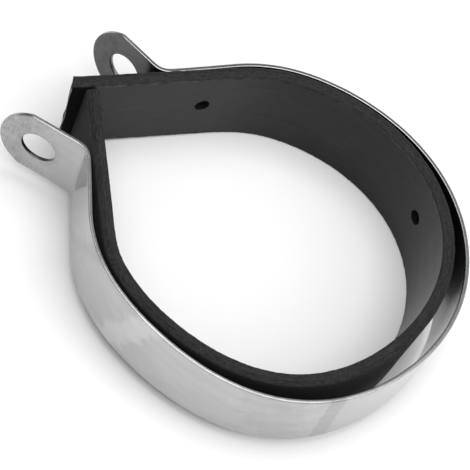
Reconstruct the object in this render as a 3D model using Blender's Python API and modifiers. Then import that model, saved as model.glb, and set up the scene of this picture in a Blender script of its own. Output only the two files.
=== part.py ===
"""Strap clamp for a round exhaust silencer or pipe.

One strip of polished stainless steel is bent into an open ring and ends in two flat ears with a
bolt hole each.  A loose strip of black rubber lines the ring.  Its two free ends run straight on
past the bends and meet between the ears.

Squeezing the ears flexes the steel strip at the back of the ring, so the strip and its liner are
made as a front and a rear half that meet at that flexure.  The liner's free ends are separate
solids too, because they swing outwards around the bends while the gap between the ears closes.

Metres, +Z up along the ring's axis.  The ears point towards -X, the front ear is at -Y, and the
origin is under the middle of the whole clamp at its lowest edge.
"""

from math import acos, atan2, cos, pi, radians, sin, tan

import bmesh
import bpy
from mathutils import Matrix, Vector
from mathutils.geometry import interpolate_bezier

# ---------------------------------------------------------------- driving dimensions

RING_RADIUS = 0.0556            # outer face of the steel ring, mean
RING_OVAL = 0.00075             # two, three, four and five-sided unroundness of the relaxed ring
RING_PEAR = 0.00023
RING_SQUARE = 0.00078
RING_FIVE_SIDED = 0.00024
OVAL_TURN = radians(31.0)       # direction of its long axis, from the gap towards the front
CORNER_TURN = radians(40.0)     # direction of its most pulled-out corner
STRIP_WIDTH = 0.025
STRIP_THICKNESS = 0.0013

EAR_GAP = 0.0360                # between the inner faces of the two ears, at the bends
EAR_SPLAY = radians(8.1)        # how far each ear leans away from the other
FRONT_EAR_LENGTH = 0.0108       # flat of the ear from its bend to the bolt hole's centre
REAR_EAR_LENGTH = 0.0085
EAR_END_LENGTH = 0.0125         # bolt hole's centre to the ear's end
EAR_END_EASING = 0.0013         # the end's radius over half the strip's width, which leaves a
                                # blunt corner where the rounded end meets the ear's sides
EAR_HOLE = 0.0109
BEND_RADIUS = 0.0045            # inside radius of the bend between ring and ear
FRONT_STRAIGHT = radians(37.0)  # where the ring runs straight on to its bend, from the gap
REAR_STRAIGHT = radians(41.0)

LINER_THICKNESS = 0.0037
LINER_DROP = 0.0046             # liner's lower edge below the strip's lower edge
LINER_RISE = 0.0018             # liner's upper edge above the strip's upper edge
LINER_PLAY = 0.0009             # mean room between strip and liner around the sides
LINER_SHIFT = 0.0005            # how far the loose liner lies towards the front
LINER_SAG = 0.0040              # how much further it stands in from the strip near the back
SAG_CENTRE = radians(171.0)
SAG_HALF_SPAN = radians(106.0)
LINER_HOLE = 0.0046
LINER_HOLE_RISE = 0.0009        # its holes above the liner's middle line
LINER_HOLE_ANGLES = (radians(31.8), radians(126.5))     # on each side, from the gap

SHOULDER_LENGTH = 0.0150            # straight stretch from the bend towards the round part
SHOULDER_ANGLE = radians(57.0)      # where the liner's round part begins, from the gap
FRONT_END_ANGLE = radians(40.9)     # the straight ends' normals, from the gap
REAR_END_ANGLE = radians(42.1)
FRONT_END_STANDOFF = 0.0003         # liner end to the bend that it passes
REAR_END_STANDOFF = 0.0005
REAR_END_LENGTH = 0.0285            # beyond the bend

CLOSING = radians(12.0)         # how far the front half swings in when the ears are drawn up

# named clearances
SPLIT_GAP = 0.0003              # between the two halves of the steel strip at the flexure
END_GAP = 0.0004                # liner half to its free end
TIP_GAP = 0.0009                # front free end to the rear one that it meets

RING_STEP = radians(3.75)       # facet angle of the ring
ARC_STEP = radians(10.0)        # facet angle of bends and ear ends
SHOULDER_POINTS = 7
BOLT_HOLE_SIDES = 32
LINER_HOLE_SIDES = 20
PAST_BACK = radians(4.0)        # the liner is drawn past the flexure and cut back to it

# ---------------------------------------------------------------- derived sizes

HALF_WIDTH = STRIP_WIDTH / 2
HALF_THICKNESS = STRIP_THICKNESS / 2
EAR_END_RADIUS = HALF_WIDTH + EAR_END_EASING
LINER_WIDTH = LINER_DROP + STRIP_WIDTH + LINER_RISE
STRIP_MIDDLE = LINER_DROP + HALF_WIDTH          # height of the strip's middle line
LINER_MIDDLE = LINER_WIDTH / 2
BEND_OUTSIDE = BEND_RADIUS + STRIP_THICKNESS    # radius of the bend's face towards the liner
BACK = pi                                       # angle of the flexure, from the gap

# Outlines are drawn in the plane of the ring, one side at a time, as (u, v): u from the ring's
# centre towards the gap, v towards that side's ear.  Angles are from the gap towards that ear.
# A side is FRONT or REAR.

FRONT = 1
REAR = -1


def ring_radius(angle, side):
    """Outer radius of the relaxed steel ring."""
    corner = angle - side * CORNER_TURN
    return (RING_RADIUS
            + RING_OVAL * cos(2 * (angle - side * OVAL_TURN))
            + RING_PEAR * cos(3 * corner)
            + RING_SQUARE * cos(4 * corner)
            + RING_FIVE_SIDED * cos(5 * corner))


def polar(radius, angle):
    return Vector((radius * cos(angle), radius * sin(angle)))


def heading(curve, angle, step=radians(0.05)):
    """Unit vector along a curve of angles, towards the gap."""
    return (curve(angle - step) - curve(angle + step)).normalized()


def steps(start, end, step):
    """Evenly spaced values from start to end, about `step` apart."""
    count = max(1, round(abs(end - start) / step))
    return [start + (end - start) * i / count for i in range(count + 1)]


def left_of(direction):
    return Vector((-direction.y, direction.x))


EAR_DIRECTION = Vector((cos(EAR_SPLAY), sin(EAR_SPLAY)))
EAR_NORMAL = left_of(EAR_DIRECTION)             # out of the ear's outer face
BEND_MIDDLE = BEND_RADIUS + HALF_THICKNESS


class StrapSide:
    """Outline of one half of the steel strip."""

    def __init__(self, side, straight, ear_length):
        self.side = side
        self.straight = straight
        start = self.ring(straight, STRIP_THICKNESS)
        self.along = heading(self.ring, straight)
        above = start + left_of(self.along) * BEND_OUTSIDE
        to_ear = (EAR_GAP / 2 + BEND_OUTSIDE - above.y) / self.along.y
        self.centre = above + self.along * to_ear       # of the bend
        self.hole = self.centre - EAR_NORMAL * BEND_MIDDLE + EAR_DIRECTION * ear_length
        self.flexure_u = HALF_THICKNESS - ring_radius(BACK, side)

    def ring(self, angle, depth=0.0):
        """Point on the ring, `depth` inside its outer face."""
        return polar(ring_radius(angle, self.side) - depth, angle)

    def rows(self):
        """Middle line from the ear's tip to the flexure, as (point, half width).

        The width shrinks over the ear's rounded end.
        """
        rows = []
        for turn in steps(pi / 2, acos(HALF_WIDTH / EAR_END_RADIUS), ARC_STEP):
            reach = EAR_END_LENGTH - EAR_END_RADIUS * (1 - sin(turn))
            rows.append((self.hole + EAR_DIRECTION * reach, EAR_END_RADIUS * cos(turn)))
        ring_normal = -left_of(self.along)
        first = atan2(-EAR_NORMAL.y, -EAR_NORMAL.x)
        last = atan2(ring_normal.y, ring_normal.x) - 2 * pi * (ring_normal.y > 0)
        for turn in steps(first, last, ARC_STEP):
            rows.append((self.centre + polar(BEND_MIDDLE, turn), HALF_WIDTH))
        for angle in steps(self.straight, BACK, RING_STEP)[:-1]:
            rows.append((self.ring(angle, HALF_THICKNESS), HALF_WIDTH))
        rows.append((Vector((self.flexure_u, SPLIT_GAP / 2)), HALF_WIDTH))
        return rows


def standoff(angle, side):
    """Room between the strip and the liner: play, the loose liner's shift and its sag."""
    room = LINER_PLAY - side * LINER_SHIFT * sin(angle)
    away = (angle * side % (2 * pi) - SAG_CENTRE) / SAG_HALF_SPAN
    if abs(away) < 1:
        room += LINER_SAG * (1 + cos(pi * away)) / 2
    return room


class LinerSide:
    """Outline of the liner's outer face on one side: a round part and a straight end."""

    def __init__(self, strap, end_angle, end_standoff):
        self.strap = strap
        self.side = strap.side
        self.normal = polar(1.0, end_angle)
        self.along = -left_of(self.normal)                  # towards the tip
        self.distance = self.normal.dot(strap.centre) - BEND_OUTSIDE - end_standoff
        self.bend_reach = self.along.dot(strap.centre)      # where it passes the bend

    def on_end(self, reach):
        """Point on the straight end's outer face."""
        return self.normal * self.distance + self.along * reach

    def curve(self, angle):
        """Point on the round part."""
        return self.strap.ring(angle, STRIP_THICKNESS + standoff(angle, self.side))

    def rows(self, past_back):
        """Outer face from the free end's root to just past the back of the ring."""
        shoulder = self.on_end(self.bend_reach - SHOULDER_LENGTH)
        joins = SHOULDER_ANGLE
        onto = self.curve(joins)
        back_along = -heading(self.curve, joins)
        pull = (onto - shoulder).length / 3
        rows = [self.on_end(self.bend_reach - END_GAP)]
        rows += [point.to_2d() for point in interpolate_bezier(
            shoulder.to_3d(), (shoulder - self.along * pull).to_3d(),
            (onto - back_along * pull).to_3d(), onto.to_3d(), SHOULDER_POINTS)]
        rows += [self.curve(a) for a in steps(joins, BACK + past_back, RING_STEP)[1:]]
        return rows


FRONT_STRAP = StrapSide(FRONT, FRONT_STRAIGHT, FRONT_EAR_LENGTH)
REAR_STRAP = StrapSide(REAR, REAR_STRAIGHT, REAR_EAR_LENGTH)
FRONT_LINER = LinerSide(FRONT_STRAP, FRONT_END_ANGLE, FRONT_END_STANDOFF)
REAR_LINER = LinerSide(REAR_STRAP, REAR_END_ANGLE, REAR_END_STANDOFF)


def front_end_length():
    """Length of the front free end: it stops just short of the rear end's inner face."""
    rear_normal = Vector((REAR_LINER.normal.x, -REAR_LINER.normal.y))
    rear_inner = REAR_LINER.distance - LINER_THICKNESS - TIP_GAP
    approach = rear_normal.dot(FRONT_LINER.along)
    reach = []
    for depth in (0.0, LINER_THICKNESS):
        root = FRONT_LINER.on_end(FRONT_LINER.bend_reach) - FRONT_LINER.normal * depth
        reach.append((rear_inner - rear_normal.dot(root)) / approach)
    return min(reach)


FRONT_END_LENGTH = front_end_length()

EAR_TIP_U = (FRONT_STRAP.hole + EAR_DIRECTION * EAR_END_LENGTH).x + HALF_THICKNESS * sin(EAR_SPLAY)
ORIGIN_U = (EAR_TIP_U - ring_radius(BACK, FRONT)) / 2       # middle of the clamp's length


def world(point, side, height=0.0):
    """An outline's (u, v) as a place in the clamp's frame."""
    return Vector((ORIGIN_U - point.x, -side * point.y, height))


def world_direction(vector, side):
    return Vector((-vector.x, -side * vector.y, 0.0))


# ---------------------------------------------------------------- scene and helpers

for old in list(bpy.data.objects):
    bpy.data.objects.remove(old, do_unlink=True)

parts = bpy.data.collections.new("exhaust_strap_clamp")
cutters = bpy.data.collections.new("cutters")
for collection in (parts, cutters):
    bpy.context.scene.collection.children.link(collection)


def material(name, colour, metallic, roughness):
    made = bpy.data.materials.new(name)
    made.use_nodes = True
    shader = made.node_tree.nodes["Principled BSDF"]
    shader.inputs["Base Color"].default_value = (*colour, 1.0)
    shader.inputs["Metallic"].default_value = metallic
    shader.inputs["Roughness"].default_value = roughness
    return made


STEEL = material("polished_stainless_steel", (0.66, 0.66, 0.67), 1.0, 0.14)
RUBBER = material("black_rubber", (0.025, 0.025, 0.026), 0.0, 0.80)


def strip_object(name, rows, side, middle, thickness, offset, look):
    """A strip on edge: an open surface along the outline's rows, thickened by Solidify.

    Each row is (point, half width); a half width of nothing closes the strip in a point.
    """
    mesh = bmesh.new()
    columns = []
    for point, half_width in rows:
        low = mesh.verts.new(world(point, side, middle - half_width))
        high = low if half_width < 1e-6 else mesh.verts.new(world(point, side, middle + half_width))
        columns.append((low, high))
    for (low, high), (next_low, next_high) in zip(columns, columns[1:]):
        corners = [low, next_low, next_high] + ([high] if high is not low else [])
        mesh.faces.new(corners if side > 0 else corners[::-1])
    data = bpy.data.meshes.new(name)
    mesh.to_mesh(data)
    mesh.free()
    data.materials.append(look)
    made = bpy.data.objects.new(name, data)
    parts.objects.link(made)
    shell = made.modifiers.new("thickness", "SOLIDIFY")
    shell.thickness = thickness
    shell.offset = offset
    shell.use_even_offset = True
    return made


def add_cutter(name, mesh):
    data = bpy.data.meshes.new(name)
    mesh.to_mesh(data)
    mesh.free()
    made = bpy.data.objects.new(name, data)
    made.hide_render = True
    made.display_type = "WIRE"
    cutters.objects.link(made)
    return made


def hole_cutter(name, centre, direction, diameter, length, sides):
    """A drill along `direction`."""
    mesh = bmesh.new()
    turn = direction.to_track_quat("Z", "Y").to_matrix().to_4x4()
    bmesh.ops.create_cone(mesh, cap_ends=True, segments=sides, radius1=diameter / 2,
                          radius2=diameter / 2, depth=length,
                          matrix=Matrix.Translation(centre) @ turn)
    return add_cutter(name, mesh)


def wedge_cutter(name, side):
    """Everything beyond the flexure: its face leans back by half the closing angle."""
    hinge = FRONT_STRAP.flexure_u
    reach = 3 * LINER_THICKNESS + LINER_SAG
    lean = tan(CLOSING / 2)
    near = Vector((hinge - LINER_THICKNESS, SPLIT_GAP / 2 - LINER_THICKNESS * lean))
    far = Vector((hinge + reach, SPLIT_GAP / 2 + reach * lean))
    outline = [near, far, far - Vector((0.0, 2 * reach)), near - Vector((0.0, 2 * reach))]
    mesh = bmesh.new()
    base = [mesh.verts.new(world(point, side, -LINER_DROP)) for point in outline]
    face = mesh.faces.new(base)
    grown = bmesh.ops.extrude_face_region(mesh, geom=[face])["geom"]
    lifted = [item for item in grown if isinstance(item, bmesh.types.BMVert)]
    bmesh.ops.translate(mesh, verts=lifted, vec=(0.0, 0.0, LINER_WIDTH + 2 * LINER_DROP))
    bmesh.ops.recalc_face_normals(mesh, faces=mesh.faces)
    return add_cutter(name, mesh)


def cut(target, cutter):
    boolean = target.modifiers.new(cutter.name, "BOOLEAN")
    boolean.operation = "DIFFERENCE"
    boolean.solver = "EXACT"
    boolean.object = cutter


def pivot(name, place, parent=None):
    """An empty on a joint's axis."""
    made = bpy.data.objects.new(name, None)
    made.empty_display_size = LINER_THICKNESS
    parts.objects.link(made)
    made.location = place
    if parent:
        made.parent = parent[0]
        made.location = place - parent[1]
    return made, place


def hang(piece, joint):
    """Put a piece's origin on a joint's axis and parent it there."""
    piece.data.transform(Matrix.Translation(-joint[1]))
    piece.parent = joint[0]


# ---------------------------------------------------------------- the pieces


def make_strap(outline, name):
    """Half of the steel strip with its ear and bolt hole."""
    strap = strip_object(name, outline.rows(), outline.side, STRIP_MIDDLE, STRIP_THICKNESS, 0.0,
                         STEEL)
    place = world(outline.hole, outline.side, STRIP_MIDDLE)
    drill = hole_cutter(name + "_bolt_hole", place, world_direction(EAR_NORMAL, outline.side),
                        EAR_HOLE, 6 * STRIP_THICKNESS, BOLT_HOLE_SIDES)
    cut(strap, drill)
    return strap


def liner_hole_place(outline, angle):
    """Where the ray at `angle` from the gap crosses the liner's outer face, and its normal."""
    if angle < SHOULDER_ANGLE:
        ray = polar(1.0, angle)
        return ray * (outline.distance / outline.normal.dot(ray)), outline.normal
    return outline.curve(angle), -left_of(heading(outline.curve, angle))


def make_liner(outline, name):
    """Half of the rubber liner up to its free end, with two punched holes."""
    rows = [(point, LINER_WIDTH / 2) for point in outline.rows(PAST_BACK)]
    liner = strip_object(name, rows, outline.side, LINER_MIDDLE, LINER_THICKNESS, -1.0, RUBBER)
    cut(liner, wedge_cutter(name + "_back", outline.side))
    for number, angle in enumerate(LINER_HOLE_ANGLES, 1):
        point, normal = liner_hole_place(outline, angle)
        place = world(point, outline.side, LINER_MIDDLE + LINER_HOLE_RISE)
        punch = hole_cutter(f"{name}_hole_{number}", place, world_direction(normal, outline.side),
                            LINER_HOLE, 4 * LINER_THICKNESS, LINER_HOLE_SIDES)
        cut(liner, punch)
    return liner


def make_liner_end(outline, length, name):
    """A free end of the liner, from the bend to its tip."""
    rows = [(outline.on_end(outline.bend_reach + reach), LINER_WIDTH / 2)
            for reach in (length, 0.0)]
    return strip_object(name, rows, outline.side, LINER_MIDDLE, LINER_THICKNESS, -1.0, RUBBER)


flexure = pivot("strap_flexure",
                world(Vector((FRONT_STRAP.flexure_u, 0.0)), FRONT, STRIP_MIDDLE))
front_bend = pivot("front_liner_end_flexure", world(FRONT_STRAP.centre, FRONT, STRIP_MIDDLE),
                   flexure)
rear_bend = pivot("rear_liner_end_flexure", world(REAR_STRAP.centre, REAR, STRIP_MIDDLE))

hang(make_strap(FRONT_STRAP, "strap_front"), flexure)
hang(make_liner(FRONT_LINER, "liner_front"), flexure)
hang(make_liner_end(FRONT_LINER, FRONT_END_LENGTH, "liner_front_end"), front_bend)
make_strap(REAR_STRAP, "strap_rear")
make_liner(REAR_LINER, "liner_rear")
hang(make_liner_end(REAR_LINER, REAR_END_LENGTH, "liner_rear_end"), rear_bend)
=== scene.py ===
"""Looks of the exhaust strap clamp: a polished steel strap with two ears and a loose rubber liner.

The strap and the liner are each drawn flat as the strip they were cut from, with their holes, end
shapes and worn or rough-cut edges, and then laid along the clamp's outline, which comes from the
same dimensions as the CAD part and is placed by the CAD boxes.
"""

from math import acos, atan2, cos, hypot, pi, radians, sin

import bmesh
import bpy
import numpy as np
from mathutils import Matrix, Vector, noise
from mathutils.geometry import interpolate_bezier


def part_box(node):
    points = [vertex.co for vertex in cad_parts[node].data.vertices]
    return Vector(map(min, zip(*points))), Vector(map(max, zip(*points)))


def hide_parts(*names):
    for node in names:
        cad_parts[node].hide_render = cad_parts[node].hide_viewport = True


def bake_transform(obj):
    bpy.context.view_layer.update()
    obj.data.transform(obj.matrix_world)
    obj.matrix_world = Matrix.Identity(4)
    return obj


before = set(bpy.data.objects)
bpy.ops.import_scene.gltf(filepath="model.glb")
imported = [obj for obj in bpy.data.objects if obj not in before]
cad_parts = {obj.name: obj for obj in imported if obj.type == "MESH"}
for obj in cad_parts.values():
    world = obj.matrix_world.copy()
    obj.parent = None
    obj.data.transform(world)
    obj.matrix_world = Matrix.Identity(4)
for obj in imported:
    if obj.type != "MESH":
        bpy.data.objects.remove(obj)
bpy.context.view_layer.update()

# ---------------------------------------------------------------- sizes, as in the CAD part

STRAP_LOW, STRAP_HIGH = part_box("strap_rear")
LINER_LOW, LINER_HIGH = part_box("liner_rear")

RING_RADIUS = 0.0556
RING_OVAL = 0.00075
RING_PEAR = 0.00023
RING_SQUARE = 0.00078
RING_FIVE_SIDED = 0.00024
OVAL_TURN = radians(31.0)
CORNER_TURN = radians(40.0)
STRIP_WIDTH = STRAP_HIGH.z - STRAP_LOW.z
STRIP_THICKNESS = 0.0013
EAR_GAP = 0.0360
EAR_SPLAY = radians(8.1)
EAR_LENGTH = {1: 0.0108, -1: 0.0085}
EAR_END_LENGTH = 0.0125
EAR_END_EASING = 0.0013
EAR_HOLE = 0.0109
EAR_RISE = 0.0007               # the ears stand a little high of the ring, in this model only
BEND_RADIUS = 0.0045
STRAIGHT = {1: radians(37.0), -1: radians(41.0)}

LINER_WIDTH = LINER_HIGH.z - LINER_LOW.z
LINER_THICKNESS = 0.0037
LINER_PLAY = 0.0009
LINER_SHIFT = 0.0005
LINER_SAG = 0.0040
SAG_CENTRE = radians(171.0)
SAG_HALF_SPAN = radians(106.0)
LINER_HOLE = 0.0046
LINER_HOLE_RISE = 0.0009
LINER_HOLE_ANGLES = (radians(31.8), radians(126.5))
END_ANGLE = {1: radians(40.9), -1: radians(42.1)}
END_STANDOFF = {1: 0.0003, -1: 0.0005}
REAR_END_LENGTH = 0.0285
TIP_GAP = 0.0004                # the free ends all but touch; the CAD part keeps them further apart
SHOULDER_LENGTH = 0.0150
SHOULDER_ANGLE = radians(57.0)

# points on each stretch of the outlines
BEND_POINTS = 24
RING_POINTS = 300
SHOULDER_POINTS = 40
LINER_RING_POINTS = 260
LINE_STEP = 0.00025             # between the points of a finished line
STRAP_SOFTENING = 40            # passes that round off where two stretches meet
LINER_SOFTENING = 60
DIRECTION_SOFTENING = 6

FRONT = 1
REAR = -1
BACK = pi
HALF_WIDTH = STRIP_WIDTH / 2
HALF_THICKNESS = STRIP_THICKNESS / 2
EAR_END_RADIUS = HALF_WIDTH + EAR_END_EASING
STRIP_MIDDLE = (STRAP_LOW.z + STRAP_HIGH.z) / 2
LINER_MIDDLE = (LINER_LOW.z + LINER_HIGH.z) / 2
BEND_OUTSIDE = BEND_RADIUS + STRIP_THICKNESS
BEND_MIDDLE = BEND_RADIUS + HALF_THICKNESS
EAR_DIRECTION = Vector((cos(EAR_SPLAY), sin(EAR_SPLAY)))
EAR_NORMAL = Vector((-sin(EAR_SPLAY), cos(EAR_SPLAY)))


def ring_radius(angle, side):
    """Outer radius of the relaxed steel ring."""
    corner = angle - side * CORNER_TURN
    return (RING_RADIUS
            + RING_OVAL * cos(2 * (angle - side * OVAL_TURN))
            + RING_PEAR * cos(3 * corner)
            + RING_SQUARE * cos(4 * corner)
            + RING_FIVE_SIDED * cos(5 * corner))


def polar(radius, angle):
    return Vector((radius * cos(angle), radius * sin(angle)))


def left_of(direction):
    return Vector((-direction.y, direction.x))


def heading(curve, angle, step=radians(0.05)):
    return (curve(angle - step) - curve(angle + step)).normalized()


def standoff(angle, side):
    """Room between the strap's inner face and the loose liner."""
    room = LINER_PLAY - side * LINER_SHIFT * sin(angle)
    away = (angle * side % (2 * pi) - SAG_CENTRE) / SAG_HALF_SPAN
    if abs(away) < 1:
        room += LINER_SAG * (1 + cos(pi * away)) / 2
    return room


RING_CENTRE_X = STRAP_HIGH.x - ring_radius(BACK, FRONT)


class Side:
    """Outline of the strap and the liner on one side, as in the CAD part."""

    def __init__(self, side):
        self.side = side
        start = self.ring(STRAIGHT[side], STRIP_THICKNESS)
        self.along = heading(self.ring, STRAIGHT[side])
        above = start + left_of(self.along) * BEND_OUTSIDE
        to_ear = (EAR_GAP / 2 + BEND_OUTSIDE - above.y) / self.along.y
        self.centre = above + self.along * to_ear
        self.hole = self.centre - EAR_NORMAL * BEND_MIDDLE + EAR_DIRECTION * EAR_LENGTH[side]
        self.normal = polar(1.0, END_ANGLE[side])
        self.end_along = -left_of(self.normal)
        self.distance = self.normal.dot(self.centre) - BEND_OUTSIDE - END_STANDOFF[side]
        self.bend_reach = self.end_along.dot(self.centre)

    def ring(self, angle, depth=0.0):
        return polar(ring_radius(angle, self.side) - depth, angle)

    def strap_line(self):
        """Middle line of the steel from the ear's tip to the back."""
        tip = self.hole + EAR_DIRECTION * EAR_END_LENGTH
        line = [tip, self.centre - EAR_NORMAL * BEND_MIDDLE]
        ear_turn = atan2(-EAR_NORMAL.y, -EAR_NORMAL.x)
        ring_normal = -left_of(self.along)
        ring_turn = atan2(ring_normal.y, ring_normal.x) - 2 * pi * (ring_normal.y > 0)
        line += [self.centre + polar(BEND_MIDDLE,
                                     ear_turn + (ring_turn - ear_turn) * i / BEND_POINTS)
                 for i in range(1, BEND_POINTS + 1)]
        straight = STRAIGHT[self.side]
        line += [self.ring(straight + (BACK - straight) * i / RING_POINTS, HALF_THICKNESS)
                 for i in range(RING_POINTS + 1)]
        return line

    def on_end(self, reach):
        return self.normal * self.distance + self.end_along * reach

    def curve(self, angle):
        return self.ring(angle, STRIP_THICKNESS + standoff(angle, self.side))

    def liner_line(self, end_length):
        """Outer face of the liner from its tip to the back."""
        shoulder = self.on_end(self.bend_reach - SHOULDER_LENGTH)
        onto = self.curve(SHOULDER_ANGLE)
        back_along = -heading(self.curve, SHOULDER_ANGLE)
        pull = (onto - shoulder).length / 3
        line = [self.on_end(self.bend_reach + end_length)]
        line += [p.to_2d() for p in interpolate_bezier(
            shoulder.to_3d(), (shoulder - self.end_along * pull).to_3d(),
            (onto - back_along * pull).to_3d(), onto.to_3d(), SHOULDER_POINTS)]
        line += [self.curve(SHOULDER_ANGLE + (BACK - SHOULDER_ANGLE) * i / LINER_RING_POINTS)
                 for i in range(1, LINER_RING_POINTS + 1)]
        return line

    def world(self, point):
        return np.array((RING_CENTRE_X - point.x, -self.side * point.y))


front, rear = Side(FRONT), Side(REAR)


def front_end_length():
    """The front free end stops just short of the rear end's inner face."""
    rear_normal = Vector((rear.normal.x, -rear.normal.y))
    rear_inner = rear.distance - LINER_THICKNESS - TIP_GAP
    approach = rear_normal.dot(front.end_along)
    reach = []
    for depth in (0.0, LINER_THICKNESS):
        root = front.on_end(front.bend_reach) - front.normal * depth
        reach.append((rear_inner - rear_normal.dot(root)) / approach)
    return min(reach)


FRONT_END_LENGTH = front_end_length()


class Line:
    """A smooth line in the ring's plane, followed by the distance along it."""

    def __init__(self, points, soften):
        points = np.array(points)
        far = np.concatenate([[0.0], np.cumsum(np.linalg.norm(np.diff(points, axis=0), axis=1))])
        keep = np.concatenate([[True], np.diff(far) > 1e-8])
        points, far = points[keep], far[keep]
        self.length = far[-1]
        self.at = np.linspace(0, self.length, int(self.length / LINE_STEP) + 1)
        dense = np.stack([np.interp(self.at, far, points[:, k]) for k in (0, 1)], 1)
        for _ in range(soften):
            dense[1:-1] = (dense[:-2] + 2 * dense[1:-1] + dense[2:]) / 4
        self.points = dense
        along = np.gradient(dense, self.at, axis=0)
        for _ in range(DIRECTION_SOFTENING):
            along[1:-1] = (along[:-2] + 2 * along[1:-1] + along[2:]) / 4
        self.along = along / np.linalg.norm(along, axis=1)[:, None]

    def place(self, s):
        """Points and unit directions at distances s, straight on beyond either end."""
        s = np.asarray(s, float)
        inside = np.clip(s, 0, self.length)
        point = np.stack([np.interp(inside, self.at, self.points[:, k]) for k in (0, 1)], -1)
        along = np.stack([np.interp(inside, self.at, self.along[:, k]) for k in (0, 1)], -1)
        along /= np.linalg.norm(along, axis=-1)[..., None]
        point = point + along * (s - inside)[..., None]
        outward = np.stack([along[..., 1], -along[..., 0]], -1)
        return point, along, outward

    def nearest(self, point):
        return self.at[np.linalg.norm(self.points - np.array(point), axis=1).argmin()]


def whole_line(front_points, rear_points, soften):
    """From the front tip round the back to the rear tip."""
    points = [front.world(p) for p in front_points]
    points += [rear.world(p) for p in reversed(rear_points[:-1])]
    return Line(points, soften)


strap_line = whole_line(front.strap_line(), rear.strap_line(), STRAP_SOFTENING)
liner_line = whole_line(front.liner_line(FRONT_END_LENGTH), rear.liner_line(REAR_END_LENGTH),
                        LINER_SOFTENING)


def ripple(x, y, z, seed):
    """Smooth noise between about -1 and 1."""
    return noise.noise(Vector((x, y, z)) + Vector((seed, 2.7 * seed, 0.0)))


# ---------------------------------------------------------------- materials


def node(tree, kind, inputs=(), **settings):
    made = tree.nodes.new(kind)
    for key, value in settings.items():
        setattr(made, key, value)
    for key, value in dict(inputs).items():
        if isinstance(value, bpy.types.NodeSocket):
            tree.links.new(value, made.inputs[key])
        else:
            made.inputs[key].default_value = value
    return made


def ramp(tree, value, stops):
    made = node(tree, "ShaderNodeValToRGB", {"Fac": value})
    elements = made.color_ramp.elements
    while len(elements) < len(stops):
        elements.new(0.5)
    for element, (place, shade) in zip(elements, stops):
        element.position = place
        element.color = (shade, shade, shade, 1.0) if isinstance(shade, float) else (*shade, 1.0)
    return made.outputs["Color"]


def math(tree, operation, a, b=None, c=None):
    made = node(tree, "ShaderNodeMath", operation=operation)
    for index, value in enumerate((a, b, c)):
        if value is None:
            continue
        if isinstance(value, bpy.types.NodeSocket):
            tree.links.new(value, made.inputs[index])
        else:
            made.inputs[index].default_value = value
    return made.outputs["Value"]


def scaled(tree, vector, scale):
    made = node(tree, "ShaderNodeVectorMath", {0: vector, 1: scale}, operation="MULTIPLY")
    return made.outputs["Vector"]


def noise_at(tree, vector, scale, detail=3.0, roughness=0.55):
    return node(tree, "ShaderNodeTexNoise",
                {"Vector": vector, "Scale": scale, "Detail": detail, "Roughness": roughness}
                ).outputs["Fac"]


def begin(name):
    made = bpy.data.materials.new(name)
    made.use_nodes = True
    tree = made.node_tree
    shader = tree.nodes["Principled BSDF"]
    strip = node(tree, "ShaderNodeAttribute", attribute_name="strip").outputs["Vector"]
    wear = node(tree, "ShaderNodeAttribute", attribute_name="wear").outputs["Fac"]
    return made, tree, shader, strip, wear


def mark_at(tree, strip, centre, half_length, slant, softness):
    """1 on a soft-sided mark that crosses the strip at a slant, 0 away from it."""
    parts = node(tree, "ShaderNodeSeparateXYZ", {"Vector": strip})
    across = math(tree, "MULTIPLY_ADD", parts.outputs["Y"], slant, parts.outputs["X"])
    # its sides waver, by noise whose middle value is a half
    waver = 4 * softness
    across = math(tree, "MULTIPLY_ADD", noise_at(tree, strip, 260.0), waver, across)
    centre += waver / 2
    away = math(tree, "ABSOLUTE", math(tree, "SUBTRACT", across, centre))
    faded = math(tree, "DIVIDE", math(tree, "SUBTRACT", half_length, away), softness)
    return node(tree, "ShaderNodeClamp", {"Value": faded}).outputs["Result"]


# Soft tone marks that stand for reflections seen in the photo.  They are fixed to the steel, so in
# other views they don't move over it.  Distance along the strip, half length, slant, softness, change.
STRAP_MARKS = (
    (0.1435, 0.0028, 0.06, 0.0006, -0.095),
    (0.0790, 0.0052, -0.50, 0.0025, 0.085),
    (0.0500, 0.0035, -0.80, 0.0020, -0.060),
    (0.1280, 0.0110, 0.20, 0.0090, -0.040),
)


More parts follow.
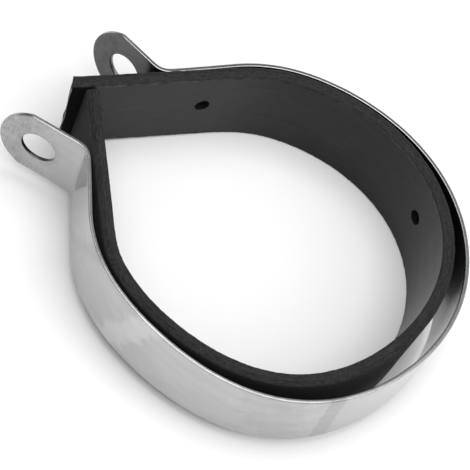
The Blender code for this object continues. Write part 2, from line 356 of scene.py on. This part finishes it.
def steel_material():
    """Polished stainless strip: fine lines along it, hairline scratches, duller grazed ears, painted
    shade and painted reflection marks.
    """
    made, tree, shader, strip, wear = begin("polished_stainless")
    lines = noise_at(tree, scaled(tree, strip, (60.0, 5200.0, 5200.0)), 1.0, 4.0, 0.6)
    cloud = noise_at(tree, strip, 70.0, 4.0)
    smear = noise_at(tree, scaled(tree, strip, (90.0, 320.0, 320.0)), 1.0, 3.0)
    turned = node(tree, "ShaderNodeMapping", {"Vector": strip, "Rotation": (0.0, 0.0, 0.5),
                                              "Scale": (60.0, 2600.0, 1.0)}).outputs["Vector"]
    turned_back = node(tree, "ShaderNodeMapping", {"Vector": strip, "Rotation": (0.0, 0.0, -0.8),
                                                   "Scale": (85.0, 2300.0, 1.0)}).outputs["Vector"]
    scratch = math(tree, "MAXIMUM", noise_at(tree, turned, 1.0, 2.0),
                   noise_at(tree, turned_back, 1.0, 2.0))
    hairline = ramp(tree, scratch, [(0.70, 0.0), (0.78, 1.0)])
    specks = ramp(tree, noise_at(tree, strip, 900.0, 2.0), [(0.72, 0.0), (0.80, 1.0)])

    rough = math(tree, "MULTIPLY_ADD", cloud, 0.10, 0.055)
    rough = math(tree, "MULTIPLY_ADD", lines, 0.07, rough)
    rough = math(tree, "MULTIPLY_ADD", wear, 0.22, rough)
    rough = math(tree, "MULTIPLY_ADD", hairline, 0.10, rough)
    rough = math(tree, "MULTIPLY_ADD", specks, 0.10, rough)
    tree.links.new(math(tree, "MINIMUM", rough, 0.6), shader.inputs["Roughness"])

    mottle = noise_at(tree, strip, 620.0, 6.0, 0.72)
    brushed = noise_at(tree, scaled(tree, strip, (2600.0, 210.0, 210.0)), 1.0, 3.0, 0.6)
    grazes = math(tree, "ADD", ramp(tree, mottle, [(0.36, 1.0), (0.62, 0.0)]),
                  ramp(tree, brushed, [(0.40, 0.7), (0.62, 0.0)]))
    grazes = math(tree, "MULTIPLY", wear, grazes)
    painted_shade = node(tree, "ShaderNodeAttribute", attribute_name="painted_shade").outputs["Fac"]
    tone = math(tree, "MULTIPLY_ADD", smear, 0.12, 0.355)
    for centre, half_length, slant, softness, change in STRAP_MARKS:
        mark = mark_at(tree, strip, centre, half_length, slant, softness)
        tone = math(tree, "MULTIPLY_ADD", mark, change, tone)
    tone = math(tree, "MULTIPLY_ADD", lines, 0.06, tone)
    tone = math(tree, "MULTIPLY_ADD", hairline, -0.07, tone)
    tone = math(tree, "MULTIPLY_ADD", specks, -0.08, tone)
    tone = math(tree, "MULTIPLY_ADD", grazes, -0.11, tone)
    # painted shade: a darker base colour on the ears' inner faces and the bolt holes' walls
    tone = math(tree, "MULTIPLY", tone, math(tree, "MULTIPLY_ADD", painted_shade, -0.68, 1.0))
    colour = node(tree, "ShaderNodeCombineColor", {"Red": tone, "Green": tone,
                                                   "Blue": math(tree, "MULTIPLY", tone, 1.006)})
    tree.links.new(colour.outputs["Color"], shader.inputs["Base Color"])
    shader.inputs["Metallic"].default_value = 1.0
    shader.inputs["Anisotropic"].default_value = 0.25

    height = math(tree, "MULTIPLY_ADD", hairline, -0.6, math(tree, "MULTIPLY", lines, 0.5))
    fine = node(tree, "ShaderNodeBump", {"Height": height, "Strength": 0.10, "Distance": 0.00003})
    soft = node(tree, "ShaderNodeBump", {"Height": noise_at(tree, strip, 55.0, 2.0),
                                         "Strength": 0.22, "Distance": 0.00035,
                                         "Normal": fine.outputs["Normal"]})
    tree.links.new(soft.outputs["Normal"], shader.inputs["Normal"])
    return made


def rubber_material():
    """Black sheet rubber: matt grained faces with dust and scuffs, torn fibrous cut edges."""
    made, tree, shader, strip, wear = begin("black_sheet_rubber")
    grain = noise_at(tree, strip, 2600.0, 3.0, 0.6)
    cloth = noise_at(tree, scaled(tree, strip, (500.0, 900.0, 900.0)), 1.0, 3.0)
    dust = noise_at(tree, strip, 95.0, 5.0, 0.62)
    scuffed = node(tree, "ShaderNodeMapping", {"Vector": strip, "Rotation": (0.0, 0.0, 0.5),
                                               "Scale": (70.0, 520.0, 520.0)}).outputs["Vector"]
    rubs = noise_at(tree, scuffed, 1.0, 4.0, 0.6)
    fibres = noise_at(tree, scaled(tree, strip, (650.0, 5200.0, 5200.0)), 1.0, 5.0, 0.72)
    flecks = ramp(tree, noise_at(tree, strip, 1500.0, 2.0), [(0.68, 0.0), (0.76, 1.0)])

    tone = math(tree, "MULTIPLY_ADD", ramp(tree, dust, [(0.35, 0.0), (0.75, 1.0)]), 0.005, 0.003)
    tone = math(tree, "MULTIPLY_ADD", ramp(tree, rubs, [(0.52, 0.0), (0.72, 1.0)]), 0.006, tone)
    tone = math(tree, "MULTIPLY_ADD", math(tree, "MULTIPLY", flecks, wear), 0.05, tone)
    edge = math(tree, "MULTIPLY", wear, ramp(tree, fibres, [(0.38, 0.0), (0.66, 1.0)]))
    tone = math(tree, "MULTIPLY_ADD", edge, 0.034, tone)
    colour = node(tree, "ShaderNodeCombineColor", {"Red": tone, "Green": tone,
                                                   "Blue": math(tree, "MULTIPLY", tone, 1.02)})
    tree.links.new(colour.outputs["Color"], shader.inputs["Base Color"])

    # the outer face is made rougher than the inner one, to be as dark as in the photo
    depth = node(tree, "ShaderNodeSeparateXYZ", {"Vector": strip}).outputs["Z"]
    outer = math(tree, "GREATER_THAN", depth, -0.4 * LINER_THICKNESS)
    rough = math(tree, "MULTIPLY_ADD", dust, 0.12, 0.26)
    rough = math(tree, "MULTIPLY_ADD", outer, 0.50, rough)
    rough = math(tree, "MULTIPLY_ADD", wear, 0.25, rough)
    tree.links.new(math(tree, "MINIMUM", rough, 0.95), shader.inputs["Roughness"])
    shader.inputs["IOR"].default_value = 1.40
    shader.inputs["Specular IOR Level"].default_value = 0.30
    shader.inputs["Sheen Weight"].default_value = 0.05
    shader.inputs["Sheen Roughness"].default_value = 0.35

    height = math(tree, "MULTIPLY_ADD", grain, 0.16, math(tree, "MULTIPLY", cloth, 0.22))
    height = math(tree, "MULTIPLY_ADD", math(tree, "MULTIPLY", fibres, wear), 2.2, height)
    bump = node(tree, "ShaderNodeBump", {"Height": height, "Strength": 0.75, "Distance": 0.00016})
    tree.links.new(bump.outputs["Normal"], shader.inputs["Normal"])
    return made


STEEL = steel_material()
RUBBER = rubber_material()


# ---------------------------------------------------------------- the strap

FRONT_HOLE_S = EAR_END_LENGTH
REAR_HOLE_S = strap_line.length - EAR_END_LENGTH
EAR_PATCH = 0.0082              # from each bolt hole's centre to the plain strip
STRAP_ROWS = 20
STRAP_STEP = 0.0008
HOLE_LAYERS = 7
EAR_SIDE_POINTS = 13
EAR_ROUND_POINTS = 40
EDGE_ROUNDING = 0.00034
EDGE_ROUNDING_SEGMENTS = 3


def ear_outline(column, hole, way):
    """Corners round one ear, from the plain strip's last column out and back to it."""
    back = hole - way * EAR_PATCH
    corner = acos(HALF_WIDTH / EAR_END_RADIUS)
    arc_centre = hole + way * (EAR_END_LENGTH - EAR_END_RADIUS)
    straight = EAR_PATCH + EAR_END_LENGTH - EAR_END_RADIUS * (1 - sin(corner))
    places = [(v.co.x, v.co.y) for v in column]
    places += [(back + way * straight * i / EAR_SIDE_POINTS, HALF_WIDTH)
               for i in range(1, EAR_SIDE_POINTS)]
    turns = [corner + (pi - 2 * corner) * i / EAR_ROUND_POINTS
             for i in range(EAR_ROUND_POINTS + 1)]
    places += [(arc_centre + way * EAR_END_RADIUS * sin(t), EAR_END_RADIUS * cos(t))
               for t in turns]
    places += [(back + way * straight * i / EAR_SIDE_POINTS, -HALF_WIDTH)
               for i in range(EAR_SIDE_POINTS - 1, 0, -1)]
    return places


def ear_patch(mesh, column, hole, way):
    """Rings of faces between an ear's outline and its bolt hole."""
    places = ear_outline(column, hole, way)
    loops = [list(column) + [mesh.verts.new((x, y, 0.0)) for x, y in places[len(column):]]]
    for layer in range(1, HOLE_LAYERS + 1):
        share = layer / HOLE_LAYERS
        loop = []
        for x, y in places:
            far = hypot(x - hole, y)
            reach = far + (EAR_HOLE / 2 - far) * share
            loop.append(mesh.verts.new((hole + (x - hole) * reach / far, y * reach / far, 0.0)))
        loops.append(loop)
    for one, two in zip(loops, loops[1:]):
        for k in range(len(one)):
            following = (k + 1) % len(one)
            corners = (one[k], two[k], two[following], one[following])
            mesh.faces.new(corners if way < 0 else corners[::-1])


def thickened(data):
    """The flat sheet with the steel's thickness and rounded edges."""
    flat = bpy.data.objects.new("flat_strap", data)
    bpy.context.scene.collection.objects.link(flat)
    shell = flat.modifiers.new("shell", "SOLIDIFY")
    shell.thickness = STRIP_THICKNESS
    shell.offset = 0.0
    edges = flat.modifiers.new("edges", "BEVEL")
    edges.width = EDGE_ROUNDING
    edges.segments = EDGE_ROUNDING_SEGMENTS
    edges.limit_method = "ANGLE"
    edges.angle_limit = radians(50)
    shading = flat.modifiers.new("shading", "WEIGHTED_NORMAL")
    shading.keep_sharp = False
    for face in data.polygons:
        face.use_smooth = True
    bpy.context.view_layer.update()
    made = bpy.data.meshes.new_from_object(flat.evaluated_get(
        bpy.context.evaluated_depsgraph_get()))
    bpy.data.objects.remove(flat, do_unlink=True)
    return made


def flat_strap():
    """The strip before bending, as (distance along, height, depth) corners with rounded edges."""
    mesh = bmesh.new()
    cross = [-HALF_WIDTH + STRIP_WIDTH * i / STRAP_ROWS for i in range(STRAP_ROWS + 1)]
    start, end = FRONT_HOLE_S + EAR_PATCH, REAR_HOLE_S - EAR_PATCH
    count = round((end - start) / STRAP_STEP)
    columns = [[mesh.verts.new((start + (end - start) * i / count, w, 0.0)) for w in cross]
               for i in range(count + 1)]
    for one, two in zip(columns, columns[1:]):
        for k in range(STRAP_ROWS):
            mesh.faces.new((one[k], two[k], two[k + 1], one[k + 1]))
    ear_patch(mesh, columns[0], FRONT_HOLE_S, -1)
    ear_patch(mesh, columns[-1], REAR_HOLE_S, 1)
    bmesh.ops.recalc_face_normals(mesh, faces=mesh.faces)
    if sum(f.normal.z for f in mesh.faces) < 0:
        bmesh.ops.reverse_faces(mesh, faces=mesh.faces)
    data = bpy.data.meshes.new("flat_strap")
    mesh.to_mesh(data)
    mesh.free()
    return thickened(data)


def coordinates(data):
    found = np.zeros(len(data.vertices) * 3)
    data.vertices.foreach_get("co", found)
    return found.reshape(-1, 3)


def set_attributes(data, strip, wear):
    made = data.attributes.new("strip", "FLOAT_VECTOR", "POINT")
    made.data.foreach_set("vector", np.asarray(strip, np.float32).ravel())
    made = data.attributes.new("wear", "FLOAT", "POINT")
    made.data.foreach_set("value", np.asarray(wear, np.float32).ravel())


def place_object(name, data, look):
    data.name = name
    data.materials.clear()
    data.materials.append(look)
    made = bpy.data.objects.new(name, data)
    bpy.context.scene.collection.objects.link(made)
    return made


BOW = 0.00010                   # how far the faces stray from the true line
FINE_BOW = 0.00003
EDGE_WAVE = 0.00005
EDGE_BAND = 0.0006              # beside a long edge
BOLT_WALL_TOLERANCE = 0.00008
# painted shade on the walls of the front and the rear bolt hole
FRONT_WALL_PAINTED_SHADE = 1.05
REAR_WALL_PAINTED_SHADE = 0.35


def make_strap():
    """The strip laid along the strap's outline."""
    data = flat_strap()
    flat = coordinates(data)
    s, w, d = flat[:, 0], flat[:, 1], flat[:, 2]
    normals = np.array([n.vector[:] for n in data.corner_normals])
    corner_vertex = np.zeros(len(data.loops), int)
    data.loops.foreach_get("vertex_index", corner_vertex)

    # a bent strip isn't quite true: it bows and bellies by up to a tenth of a millimetre
    bow = np.array([BOW * ripple(x * 38, y * 30, 0.0, seed=3.1)
                    + FINE_BOW * ripple(x * 120, y * 90, 0.0, seed=7.7) for x, y, _ in flat])
    from_ear = np.minimum(s, strap_line.length - s)
    bow *= np.clip((from_ear - 0.004) / 0.02, 0.25, 1.0)
    # away from the ears the edges are faintly wavy
    wave = np.array([EDGE_WAVE * ripple(x * 900, np.sign(y) * 3.0, 0.0, seed=1.3)
                     for x, y, _ in flat])
    near_edge = np.clip((np.abs(w) - HALF_WIDTH + EDGE_BAND) / EDGE_BAND, 0, 1)
    plain = np.clip((from_ear - STRIP_WIDTH) / 0.004, 0, 1)
    height = w + np.sign(w) * wave * near_edge * plain

    point, along, outward = strap_line.place(s)
    xy = point + outward * (d + bow)[:, None]
    lift = EAR_RISE * np.clip(1 - (from_ear - EAR_END_LENGTH) / (1.6 * STRIP_WIDTH), 0, 1) ** 2
    data.vertices.foreach_set("co", np.column_stack([xy, STRIP_MIDDLE + height + lift]).ravel())
    data.update()
    turned = (normals[:, [0]] * np.pad(along, ((0, 0), (0, 1)))[corner_vertex]
              + normals[:, [1]] * np.array((0.0, 0.0, 1.0))
              + normals[:, [2]] * np.pad(outward, ((0, 0), (0, 1)))[corner_vertex])
    hole_far = np.minimum(np.hypot(s - FRONT_HOLE_S, w), np.hypot(s - REAR_HOLE_S, w))
    wear = np.clip(1 - (from_ear - 0.006) / 0.020, 0, 1) ** 1.5
    wear = np.maximum(wear, np.clip(1 - (hole_far - EAR_HOLE / 2) / 0.003, 0, 1))
    wear = np.maximum(wear, 0.5 * near_edge)
    set_attributes(data, np.column_stack([s, w, d]), wear)
    # painted shade: the ears' inner faces and the bolt holes' walls get a darker base colour, for dark
    # reflections and shade
    inner = (d < -0.9 * HALF_THICKNESS) * np.clip((STRIP_WIDTH * 1.3 - from_ear) / 0.004, 0, 1)
    wall = hole_far < EAR_HOLE / 2 + BOLT_WALL_TOLERANCE
    wall &= np.abs(d) < 0.9 * HALF_THICKNESS
    wall_painted_shade = np.where(s < STRIP_WIDTH, FRONT_WALL_PAINTED_SHADE, REAR_WALL_PAINTED_SHADE)
    inner = np.where(wall, wall_painted_shade, inner)
    painted_shade = data.attributes.new("painted_shade", "FLOAT", "POINT")
    painted_shade.data.foreach_set("value", np.asarray(inner, np.float32))
    strap = place_object("strap", data, STEEL)
    data.normals_split_custom_set([tuple(n) for n in turned])
    return strap


# ---------------------------------------------------------------- the liner

LINER_STEP = 0.00045
FACE_ROWS = 26
RIM_ROWS = 8
CORNER = 0.00025                # how far the corners of a cut edge are worn back
EDGE_WANDER = 0.00030           # how far a cut edge strays from straight
FINE_WANDER = 0.00012
MOST_WANDER = 0.0004            # outwards from either edge, to stay near the CAD part's box
RIDGE = 0.00032                 # torn ridge along the middle of a cut edge
FUZZ = 0.00012                  # fibres on a cut edge
COARSE_FUZZ = 0.00010
TIP_REACH = {"front": 0.003, "rear": 0.004}     # how far from its cut a tip's shape fades out
TIP_FUZZ = {"front": 0.00012, "rear": 0.00030}
CAP_FUZZ = 0.00010
CAP_WEAR = 0.45

REAR_TIP_S = liner_line.length
FRONT_BEND_S = FRONT_END_LENGTH
REAR_BEND_S = REAR_TIP_S - REAR_END_LENGTH
SEAM = 0.0078                   # from where the liner passes the bend to its rigid round part
END_RISE = 0.0007
END_RISE_SPAN = 0.075
TIP_SLANT = 0.0013              # the rear tip was cut at a slant: its inner face is longer


def section():
    """The strip's outline, going round, as (height share, depth share, 1 on a cut edge)."""
    ring = []
    for i in range(FACE_ROWS):
        ring.append((-1 + 2 * (i + 0.5) / FACE_ROWS, 0.0, 0.0))
    for i in range(RIM_ROWS + 1):
        ring.append((1.0, i / RIM_ROWS, 1.0))
    for i in range(FACE_ROWS):
        ring.append((1 - 2 * (i + 0.5) / FACE_ROWS, 1.0, 0.0))
    for i in range(RIM_ROWS + 1):
        ring.append((-1.0, 1 - i / RIM_ROWS, 1.0))
    return ring


def bump_at(value, centre, width):
    return np.exp(-((value - centre) / width) ** 2)


def liner_vertex(s, share, depth, rim):
    """Strip coordinates of a point of the liner's skin, with its rough-cut edges."""
    half = LINER_WIDTH / 2
    top = share > 0
    seed = 11.0 if top else 23.0
    wander = EDGE_WANDER * ripple(s * 22, 0.0, 0.0, seed=seed)
    wander += FINE_WANDER * ripple(s * 90, 1.0, 0.0, seed=seed)
    if not top:
        wander -= 0.0003 * bump_at(s, REAR_TIP_S, 0.012)
        wander -= 0.0007 * bump_at(s, FRONT_BEND_S + 0.055, 0.045)
    else:
        wander += 0.0003 * bump_at(s, REAR_TIP_S, 0.0022) - 0.00015
    edge = half + min(wander, MOST_WANDER)
    w = share * (edge if rim or abs(share) > 0.9 else half + wander * abs(share))
    d = -LINER_THICKNESS * depth
    if rim:
        # torn ridge where two cuts met, about two fifths of the way in
        ridge_depth = 0.42 + 0.10 * ripple(s * 60, 0.0, 0.0, seed=seed + 1)
        ridge = RIDGE * bump_at(depth, ridge_depth, 0.16)
        fuzz = FUZZ * ripple(s * 1100, depth * 3.0, 0.0, seed=seed + 2)
        fuzz += COARSE_FUZZ * ripple(s * 380, depth * 5.0, 0.0, seed=seed + 3)
        corner = CORNER * (bump_at(depth, 0.0, 0.09) + bump_at(depth, 1.0, 0.09))
        w += (1 if top else -1) * (ridge + fuzz - corner - 0.0002)
        d += 0.00008 * ripple(s * 700, depth * 2.0, 1.0, seed=seed + 4)
    else:
        close = max(0.0, 1 - (half - abs(w)) / 0.0012)
        d += (0.00006 * ripple(s * 30, w * 60, 0.0, seed=31.0)
              + 0.00003 * ripple(s * 160, w * 220, depth, seed=37.0)
              + 0.00003 * close * ripple(s * 700, w * 900, depth, seed=41.0))
    return s, w, d


def creep(s):
    """How far the liner stands higher, towards its rear free end."""
    share = np.clip(1 - (REAR_TIP_S - s) / END_RISE_SPAN, 0, 1)
    return END_RISE * share * share * (3 - 2 * share)


def tip_shift(s, w, end):
    """How far a free end's cut runs out of square, at height w."""
    share = w / LINER_WIDTH + 0.5
    if end == "rear":
        fuzz = TIP_FUZZ[end] * ripple(w * 260, 0.0, 0.0, seed=5.0)
        nub = 0.0005 * bump_at(w, LINER_WIDTH / 2, 0.0012)
        slant = 0.0014 * (share - 0.35)
        return bump_at(s, REAR_TIP_S, TIP_REACH[end]) * (0.0007 + slant + fuzz + nub)
    fuzz = TIP_FUZZ[end] * ripple(w * 260, 0.0, 0.0, seed=6.0)
    return bump_at(s, 0.0, TIP_REACH[end]) * (0.0001 + fuzz)


def liner_piece(name, s_from, s_to):
    """A closed stretch of the liner between two distances along it."""
    ring = section()
    count = max(2, round((s_to - s_from) / LINER_STEP))
    stations = [s_from + (s_to - s_from) * i / count for i in range(count + 1)]
    strip, wear = [], []
    for s in stations:
        for share, depth, rim in ring:
            place = liner_vertex(s, share, depth, rim)
            moved = 0.0
            if s_from == 0.0:
                moved = tip_shift(s, place[1], "front")
            if s_to == REAR_TIP_S:
                moved = tip_shift(s, place[1], "rear")
                fade = bump_at(s, REAR_TIP_S, TIP_REACH["rear"])
                moved -= TIP_SLANT * fade * place[2] / LINER_THICKNESS
            strip.append((s + moved, place[1], place[2]))
            close = max(0.0, 1 - (LINER_WIDTH / 2 - abs(place[1])) / 0.0009)
            wear.append(1.0 if rim else 0.5 * close)
    size = len(ring)
    faces = []
    for i in range(count):
        for k in range(size):
            a, b = i * size + k, i * size + (k + 1) % size
            faces.append((a, b, b + size, a + size))
    for station, turn in ((0, 1), (count, -1)):
        faces += cap_faces(station, size, strip, wear, turn)
    strip = np.array(strip)
    data = bpy.data.meshes.new(name)
    point, _, outward = liner_line.place(strip[:, 0])
    xy = point + outward * strip[:, [2]]
    places = np.column_stack([xy, LINER_MIDDLE + strip[:, 1] + creep(strip[:, 0])])
    data.from_pydata(places.tolist(), [], faces)
    set_attributes(data, strip, wear)
    for face in data.polygons:
        face.use_smooth = True
    mesh = bmesh.new()
    mesh.from_mesh(data)
    bmesh.ops.recalc_face_normals(mesh, faces=mesh.faces)
    mesh.verts.ensure_lookup_table()
    for station in (0, count):
        loop = {mesh.verts[station * size + k] for k in range(size)}
        for edge in {e for v in loop for e in v.link_edges}:
            if edge.verts[0] in loop and edge.verts[1] in loop:
                edge.smooth = False
    mesh.to_mesh(data)
    mesh.free()
    data.update()
    return place_object(name, data, RUBBER)


def cap_faces(station, size, strip, wear, turn):
    """Quads across the end of a stretch: outer and inner face rows pair up, rims close the ends."""
    base = station * size
    outer = list(range(0, FACE_ROWS))
    top = list(range(FACE_ROWS, FACE_ROWS + RIM_ROWS + 1))
    inner = list(range(FACE_ROWS + RIM_ROWS + 1, 2 * FACE_ROWS + RIM_ROWS + 1))[::-1]
    bottom = list(range(2 * FACE_ROWS + RIM_ROWS + 1, size))[::-1]
    at_tip = strip[base][0] < 0.001 or strip[base][0] > REAR_TIP_S - 0.002
    # a grid of columns through the thickness, with new points between the two faces
    grid = [[base + k for k in bottom]]
    for low, high in zip(outer, inner):
        column = [base + low]
        for i in range(1, RIM_ROWS):
            share = i / RIM_ROWS
            a, b = np.array(strip[base + low]), np.array(strip[base + high])
            place = a + (b - a) * share
            if at_tip:
                place[0] += CAP_FUZZ * ripple(place[1] * 900, share * 3.0, 0.0, seed=51.0)
            strip.append(tuple(place))
            wear.append(CAP_WEAR)
            column.append(len(strip) - 1)
        column.append(base + high)
        grid.append(column)
    grid.append([base + k for k in top])
    faces = []
    for one, two in zip(grid, grid[1:]):
        for i in range(RIM_ROWS):
            corners = (one[i], one[i + 1], two[i + 1], two[i])
            faces.append(corners if turn > 0 else corners[::-1])
    return faces


def liner_hole_s(side, angle):
    """Distance along the liner where the ray at `angle` from the gap crosses its outer face."""
    ray = side.world(polar(RING_RADIUS * 0.94, angle))
    return liner_line.nearest(ray)


PUNCH_SIDES = 40
PUNCH_ROUGHNESS = 0.035
PUNCH_RIM_TOLERANCE = 0.00012
PUNCH_RIM_DEPTH = 0.0004        # a rim's own edges run through less of the rubber than this


def punch_tool(number, centre, outward):
    """A cylinder through the liner, a little out of round."""
    mesh = bmesh.new()
    bmesh.ops.create_cone(mesh, cap_ends=True, segments=PUNCH_SIDES, radius1=LINER_HOLE / 2,
                          radius2=LINER_HOLE / 2, depth=LINER_THICKNESS * 4)
    for vertex in mesh.verts:
        angle = atan2(vertex.co.y, vertex.co.x)
        grow = 1 + PUNCH_ROUGHNESS * ripple(2 * cos(angle), 2 * sin(angle), number * 5.0,
                                            seed=61.0)
        vertex.co.x *= grow
        vertex.co.y *= grow
    turn = Vector((*outward, 0.0)).to_track_quat("Z", "Y").to_matrix().to_4x4()
    mesh.transform(Matrix.Translation(centre) @ turn)
    data = bpy.data.meshes.new("punch")
    mesh.to_mesh(data)
    mesh.free()
    tool = bpy.data.objects.new("punch", data)
    bpy.context.scene.collection.objects.link(tool)
    return tool


def crease_rim(data, centre, outward):
    """Marks the edges of a punched hole's two rims as sharp."""
    crease = data.attributes.get("sharp_edge") or data.attributes.new(
        "sharp_edge", "BOOLEAN", "EDGE")
    sharp = np.zeros(len(data.edges), bool)
    crease.data.foreach_get("value", sharp)
    around = coordinates(data) - np.array(centre)
    axis = np.array((*outward, 0.0))
    depth = around @ axis
    beside = np.linalg.norm(around - np.outer(depth, axis), axis=1)
    on_rim = np.abs(beside - LINER_HOLE / 2) < PUNCH_RIM_TOLERANCE
    ends = np.zeros(len(data.edges) * 2, int)
    data.edges.foreach_get("vertices", ends)
    ends = ends.reshape(-1, 2)
    level = np.abs(np.diff(depth[ends], axis=1))[:, 0] < PUNCH_RIM_DEPTH
    crease.data.foreach_set("value", sharp | (on_rim[ends].all(1) & level))


def punch(piece, places):
    """Punched holes with a slightly torn rim."""
    for number, s in enumerate(places):
        point, _, outward = liner_line.place(s)
        centre = Vector((*point, LINER_MIDDLE + LINER_HOLE_RISE + creep(s)))
        tool = punch_tool(number, centre, outward)
        cutting = piece.modifiers.new("punch", "BOOLEAN")
        cutting.operation = "DIFFERENCE"
        cutting.solver = "EXACT"
        cutting.object = tool
        bpy.context.view_layer.update()
        made = bpy.data.meshes.new_from_object(piece.evaluated_get(
            bpy.context.evaluated_depsgraph_get()))
        piece.modifiers.clear()
        old = piece.data
        piece.data = made
        made.name = old.name + f"_{number}"
        made.materials.clear()
        made.materials.append(RUBBER)
        bpy.data.objects.remove(tool, do_unlink=True)
        bpy.data.meshes.remove(old)
        crease_rim(made, centre, outward)


# ---------------------------------------------------------------- pieces in place of the hidden CAD parts

HOLE_MARGIN = 0.0005            # solid rubber between a hole and the end of its stretch

strap = make_strap()
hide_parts("strap_front", "strap_rear")
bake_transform(strap)

FRONT_SEAM_S = FRONT_BEND_S + SEAM
REAR_SEAM_S = REAR_BEND_S - SEAM
round_part = liner_piece("liner", FRONT_SEAM_S, REAR_SEAM_S)
holes = [liner_hole_s(front, a) for a in LINER_HOLE_ANGLES]
holes += [liner_hole_s(rear, a) for a in LINER_HOLE_ANGLES]
room = LINER_HOLE / 2 + HOLE_MARGIN
punch(round_part, [s for s in holes if FRONT_SEAM_S + room < s < REAR_SEAM_S - room])
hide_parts("liner_front", "liner_rear")
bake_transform(round_part)


def free_end(name, node_name, s_from, s_to, bend_s):
    """One of the liner's straight ends, made as its own piece in place of its CAD node, which is
    hidden.
    """
    piece = liner_piece(name, s_from, s_to)
    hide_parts(node_name)
    point, along, _ = liner_line.place(bend_s)
    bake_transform(piece)


free_end("liner_front_free_end", "liner_front_end", 0.0, FRONT_SEAM_S,
         FRONT_BEND_S)
free_end("liner_rear_free_end", "liner_rear_end", REAR_SEAM_S, REAR_TIP_S,
         REAR_BEND_S)

# ---------------------------------------------------------------- studio

scene = bpy.context.scene
scene.view_settings.view_transform = "Standard"

FLOOR_REACH = 3.0
WORLD_STRENGTH = 0.88
LIGHT_AIM = Vector((0.0, 0.0, 0.015))

floor_mesh = bpy.data.meshes.new("floor")
floor_mesh.from_pydata([(-FLOOR_REACH, -FLOOR_REACH, 0), (FLOOR_REACH, -FLOOR_REACH, 0),
                        (FLOOR_REACH, FLOOR_REACH, 0), (-FLOOR_REACH, FLOOR_REACH, 0)],
                       [], [(0, 1, 2, 3)])
floor = bpy.data.objects.new("floor", floor_mesh)
scene.collection.objects.link(floor)
paper = bpy.data.materials.new("pale_floor")
paper.use_nodes = True
paper_shader = paper.node_tree.nodes["Principled BSDF"]
paper_shader.inputs["Base Color"].default_value = (0.96, 0.96, 0.96, 1)
paper_shader.inputs["Roughness"].default_value = 0.9
floor_mesh.materials.append(paper)

world = bpy.data.worlds.new("studio")
scene.world = world
world.use_nodes = True
tree = world.node_tree
where = node(tree, "ShaderNodeTexCoord").outputs["Generated"]
height = node(tree, "ShaderNodeSeparateXYZ", {"Vector": where}).outputs["Z"]
shade = ramp(tree, height, [(0.0, 0.60), (0.12, 0.34), (0.40, 0.80), (0.75, 1.0), (1.0, 0.90)])
# a dark flag high behind the clamp, which its upward edges reflect
flag = node(tree, "ShaderNodeVectorMath", {0: where, 1: (-0.06, 0.55, 0.83)},
            operation="DOT_PRODUCT").outputs["Value"]
shaded = ramp(tree, flag, [(0.95, 1.0), (0.975, 0.22)])
shade = math(tree, "MULTIPLY", shade, shaded)
# darker on the side of the ears
sideways = node(tree, "ShaderNodeSeparateXYZ", {"Vector": where}).outputs["X"]
sideways = math(tree, "MULTIPLY_ADD", sideways, 0.5, 0.5)
shade = math(tree, "MULTIPLY", shade, ramp(tree, sideways, [(0.05, 0.35), (0.60, 1.0)]))
background = tree.nodes["Background"]
tree.links.new(shade, background.inputs["Color"])
background.inputs["Strength"].default_value = WORLD_STRENGTH


def area_light(name, place, size, power):
    data = bpy.data.lights.new(name, "AREA")
    data.shape = "RECTANGLE"
    data.size, data.size_y = size
    data.energy = power
    lamp = bpy.data.objects.new(name, data)
    lamp.location = place
    lamp.rotation_mode = "QUATERNION"
    lamp.rotation_quaternion = (LIGHT_AIM - Vector(place)).to_track_quat("-Z", "Y")
    scene.collection.objects.link(lamp)


area_light("top_softbox", (0.02, -0.05, 0.95), (0.95, 0.95), 6.6)
area_light("right_softbox", (0.8, 0.1, 0.5), (0.4, 0.6), 1.2)
area_light("front_softbox", (0.15, -0.8, 0.35), (0.8, 0.35), 0.5)

# ---------------------------------------------------------------- camera

# fitted to the outline of the clamp in the photo
CAMERA_PLACE = (0.041596, -0.286226, 0.445782)
CAMERA_RIGHT = (0.806882, 0.524291, 0.272141)
CAMERA_UP = (-0.586009, 0.652426, 0.480556)
CAMERA_LENS = 135.2             # millimetres, on a sensor 36 mm wide

camera_data = bpy.data.cameras.new("camera")
camera = bpy.data.objects.new("camera", camera_data)
scene.collection.objects.link(camera)
camera_data.sensor_width = 36.0
camera_data.lens = CAMERA_LENS
camera_data.clip_start = 0.01
camera_data.clip_end = 20.0
right = Vector(CAMERA_RIGHT)
up = Vector(CAMERA_UP)
back = right.cross(up).normalized()
up = back.cross(right).normalized()
turn = Matrix((right, up, back)).transposed().to_4x4()
camera.matrix_world = Matrix.Translation(CAMERA_PLACE) @ turn
scene.camera = camera
